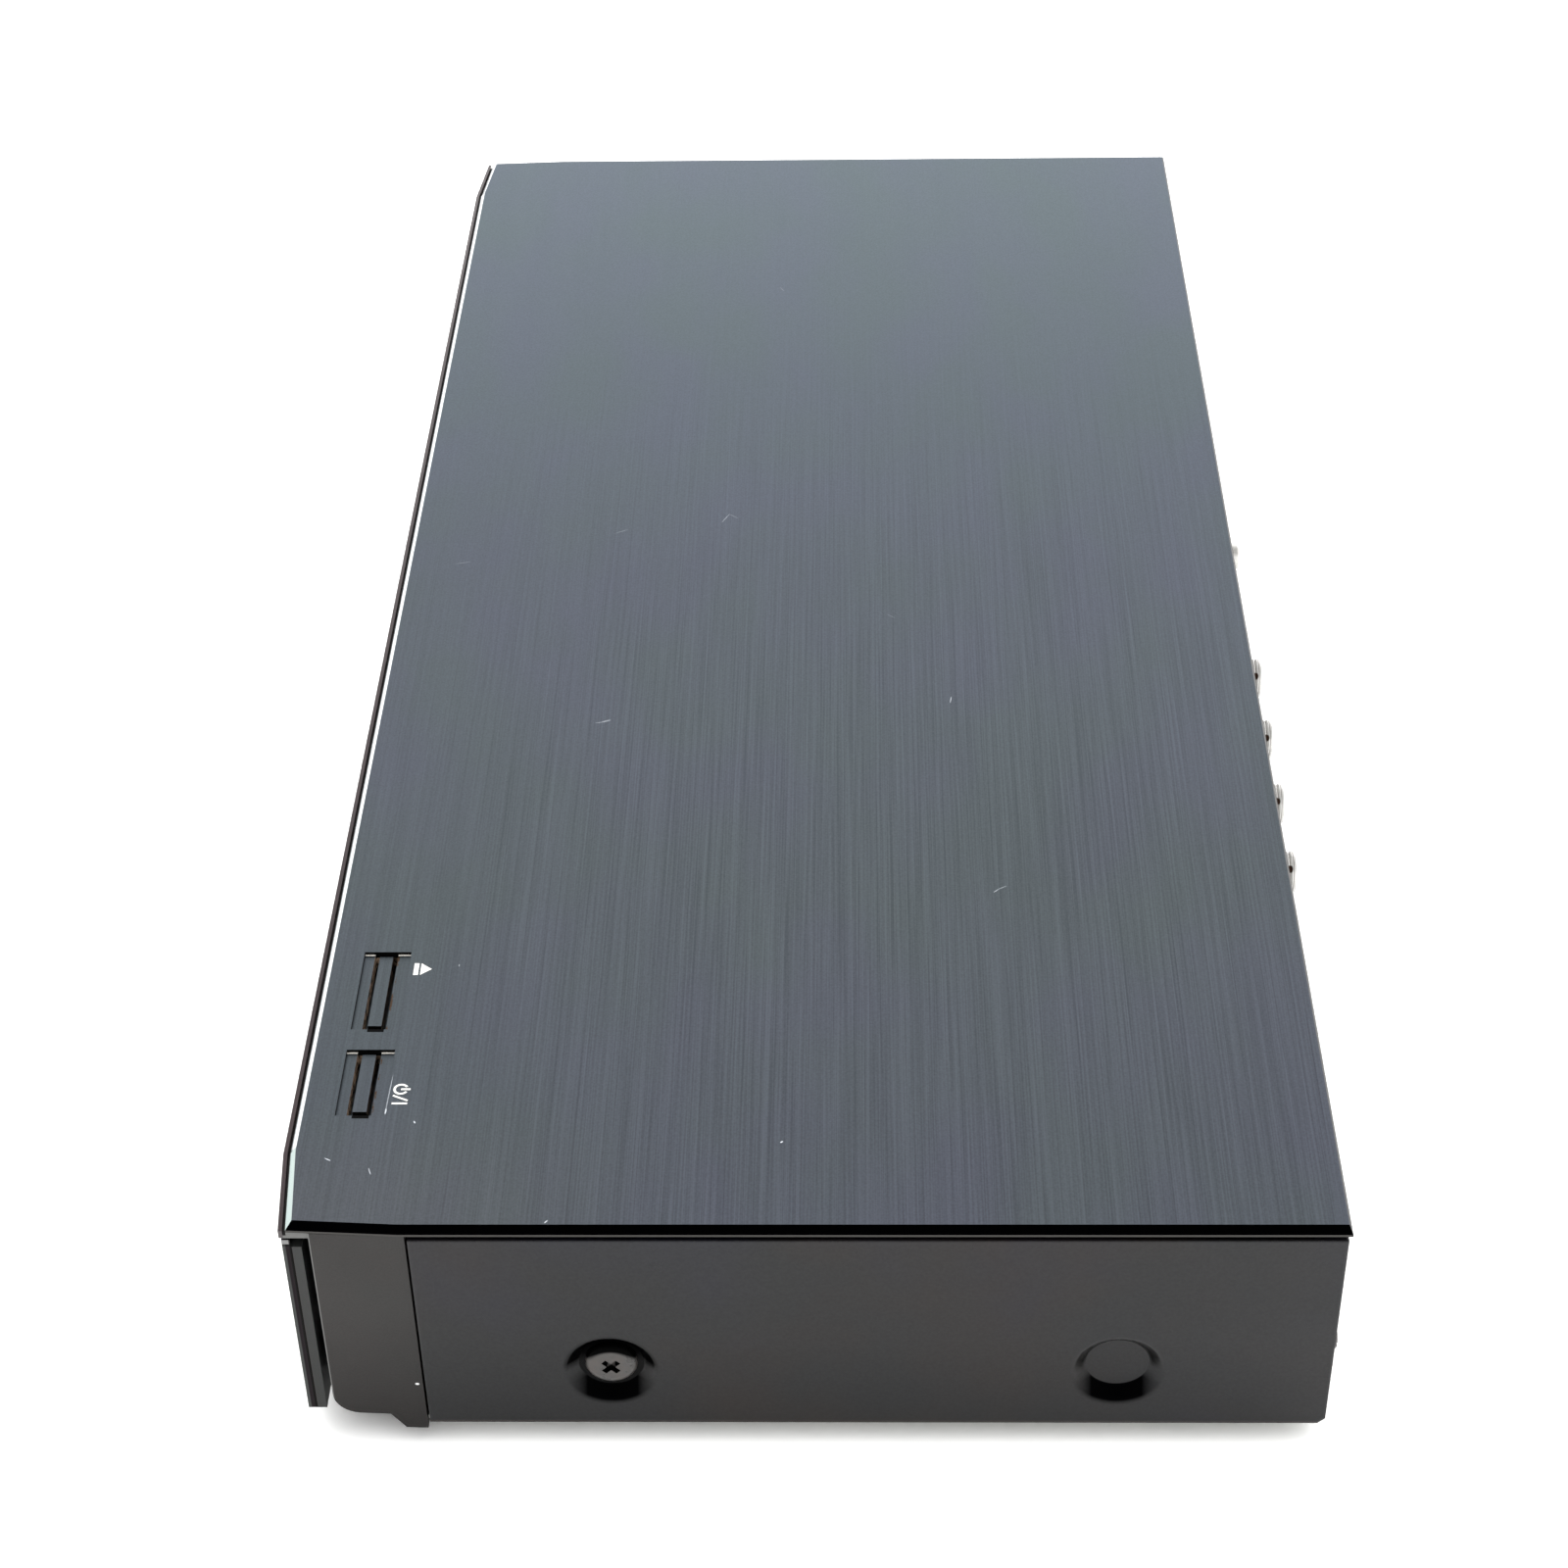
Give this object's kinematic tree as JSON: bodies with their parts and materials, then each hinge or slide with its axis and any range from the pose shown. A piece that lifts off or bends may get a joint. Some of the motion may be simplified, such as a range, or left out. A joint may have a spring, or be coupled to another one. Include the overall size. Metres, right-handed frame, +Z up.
{
  "type": "blu-ray recorder",
  "caption": "Flat black disc recorder with a brushed top plate, two top buttons, a drop-down front door, a sliding disc tray and threaded aerial sockets at the back.",
  "frame": {"origin": "on the floor under the middle of the whole box, the aerial sockets included", "axes": "+X to the right seen from the front, +Y to the back, +Z up"},
  "size_m": [0.43, 0.2084, 0.059],
  "materials": {
    "brushed_black": "fine brushed, dark anodised",
    "black_moulding": "satin",
    "gloss_black": "gloss",
    "bright_trim": "bright",
    "black_steel": "fine matt paint",
    "plated_steel": "zinc plated",
    "black_screw": "black oxide",
    "nickel": "nickel plated",
    "rubber": "matt",
    "smoked": "smoked clear",
    "grey_plastic": "matt",
    "black_plastic": "matt",
    "white_plastic": "matt",
    "board_green": "solder mask",
    "chip": "moulded resin",
    "alloy": "as cast",
    "polished": "polished",
    "lens": "coated",
    "ferrite": "sintered",
    "ribbon": "satin",
    "belt": "matt"
  },
  "bodies": {
    "case": {"top_panel": "brushed_black", "front_bezel": "black_moulding", "lip_trim": "bright_trim", "hinge_pins": "polished", "front_fascia": "gloss_black", "display_window": "smoked", "wrap_cover": "black_steel", "chassis_base": "plated_steel", "rear_panel": "black_steel", "feet": "rubber", "side_screws": "black_screw", "case_screws": "black_screw", "key_board": "board_green", "tact_switches": "black_plastic", "front_board": "board_green", "display_module": "grey_plastic", "sd_slot": "nickel", "card_reader": "black_plastic", "main_board": "board_green", "main_chips": "chip", "heat_sink": "alloy", "tuner_can": "nickel", "antenna_sockets": "nickel", "av_jacks": "black_plastic", "hdmi_port": "nickel", "lan_port": "nickel", "ac_inlet": "black_plastic", "power_board": "board_green", "transformer": "ferrite", "capacitors": "black_plastic", "fan_frame": "black_plastic", "drive_base": "grey_plastic", "drive_cover": "plated_steel", "loading_motor": "plated_steel", "loading_belt": "belt", "hdd_bracket": "plated_steel", "hdd_base": "alloy", "hdd_cover": "plated_steel", "flat_cables": "ribbon"},
    "door": {"door_panel": "gloss_black", "door_backing": "black_moulding"},
    "tray": {"disc_tray": "grey_plastic", "tray_lid": "gloss_black"},
    "eject_key": {"eject_button": "black_moulding"},
    "power_key": {"power_button": "black_moulding"},
    "fan": {"fan_rotor": "black_plastic"},
    "traverse": {"traverse_frame": "plated_steel", "spindle_motor": "plated_steel", "guide_rods": "polished", "sled_motor": "plated_steel"},
    "spindle": {"turntable": "black_plastic"},
    "clamper": {"clamper": "white_plastic"},
    "pickup": {"pickup_sled": "black_plastic"},
    "lens": {"pickup_lens": "lens"},
    "sled_screw": {"lead_screw": "polished"},
    "pulley": {"motor_pulley": "white_plastic"},
    "belt_wheel": {"belt_gear": "white_plastic"},
    "rack_gear": {"tray_gear": "white_plastic"},
    "platters": {"hdd_platters": "polished"},
    "arm": {"hdd_arm": "alloy"}
  },
  "joints": [
    {"name": "door_fold", "type": "hinge", "parent": "case", "child": "door", "pos_m": [0, -0.0921, 0.0129], "axis": [1, 0, 0], "range_deg": [0, 90]},
    {"name": "tray_slide", "type": "slide", "parent": "case", "child": "tray", "axis": [0, -1, 0], "range_m": [0, 0.14]},
    {"name": "eject_press", "type": "slide", "parent": "case", "child": "eject_key", "axis": [0, 0, -1], "range_m": [0, 0.0006], "stiffness_N_per_m": 800},
    {"name": "power_press", "type": "slide", "parent": "case", "child": "power_key", "axis": [0, 0, -1], "range_m": [0, 0.0006], "stiffness_N_per_m": 800},
    {"name": "fan_spin", "type": "hinge", "parent": "case", "child": "fan", "pos_m": [0.1225, 0.0882, 0.031], "axis": [0, 1, 0], "continuous": true},
    {"name": "traverse_lift", "type": "slide", "parent": "case", "child": "traverse", "axis": [0, 0, 1], "range_m": [0, 0.0055]},
    {"name": "disc_spin", "type": "hinge", "parent": "traverse", "child": "spindle", "pos_m": [-0.132, -0.0282, 0.025], "axis": [0, 0, 1], "continuous": true},
    {"name": "clamper_spin", "type": "hinge", "parent": "case", "child": "clamper", "pos_m": [-0.132, -0.0282, 0.036], "axis": [0, 0, 1], "continuous": true},
    {"name": "pickup_slide", "type": "slide", "parent": "traverse", "child": "pickup", "axis": [0, 1, 0], "range_m": [0, 0.034]},
    {"name": "lens_focus", "type": "slide", "parent": "pickup", "child": "lens", "axis": [0, 0, 1], "range_m": [-0.0004, 0.0004], "stiffness_N_per_m": 30},
    {"name": "sled_screw_spin", "type": "hinge", "parent": "traverse", "child": "sled_screw", "pos_m": [-0.1015, 0.0158, 0.0126], "axis": [0, 1, 0], "continuous": true},
    {"name": "pulley_spin", "type": "hinge", "parent": "case", "child": "pulley", "pos_m": [-0.1339, -0.0742, 0.021], "axis": [0, 0, 1], "continuous": true},
    {"name": "belt_wheel_spin", "type": "hinge", "parent": "case", "child": "belt_wheel", "pos_m": [-0.1679, -0.0742, 0.021], "axis": [0, 0, 1], "continuous": true},
    {"name": "rack_gear_spin", "type": "hinge", "parent": "case", "child": "rack_gear", "pos_m": [-0.1807, -0.0742, 0.027], "axis": [0, 0, 1], "continuous": true},
    {"name": "platter_spin", "type": "hinge", "parent": "case", "child": "platters", "pos_m": [0.003, -0.0322, 0.04], "axis": [0, 0, 1], "continuous": true},
    {"name": "arm_swing", "type": "hinge", "parent": "case", "child": "arm", "pos_m": [-0.023, 0.0338, 0.04], "axis": [0, 0, 1], "range_deg": [-18, 15]}
  ],
  "couplings": [
    {"joint": "clamper_spin", "follows": "disc_spin", "ratio": 1},
    {"joint": "sled_screw_spin", "follows": "pickup_slide", "rad_per_m": 2094.4},
    {"joint": "rack_gear_spin", "follows": "tray_slide", "rad_per_m": 124.67},
    {"joint": "belt_wheel_spin", "follows": "tray_slide", "rad_per_m": -224.4},
    {"joint": "pulley_spin", "follows": "tray_slide", "rad_per_m": -938.81}
  ]
}
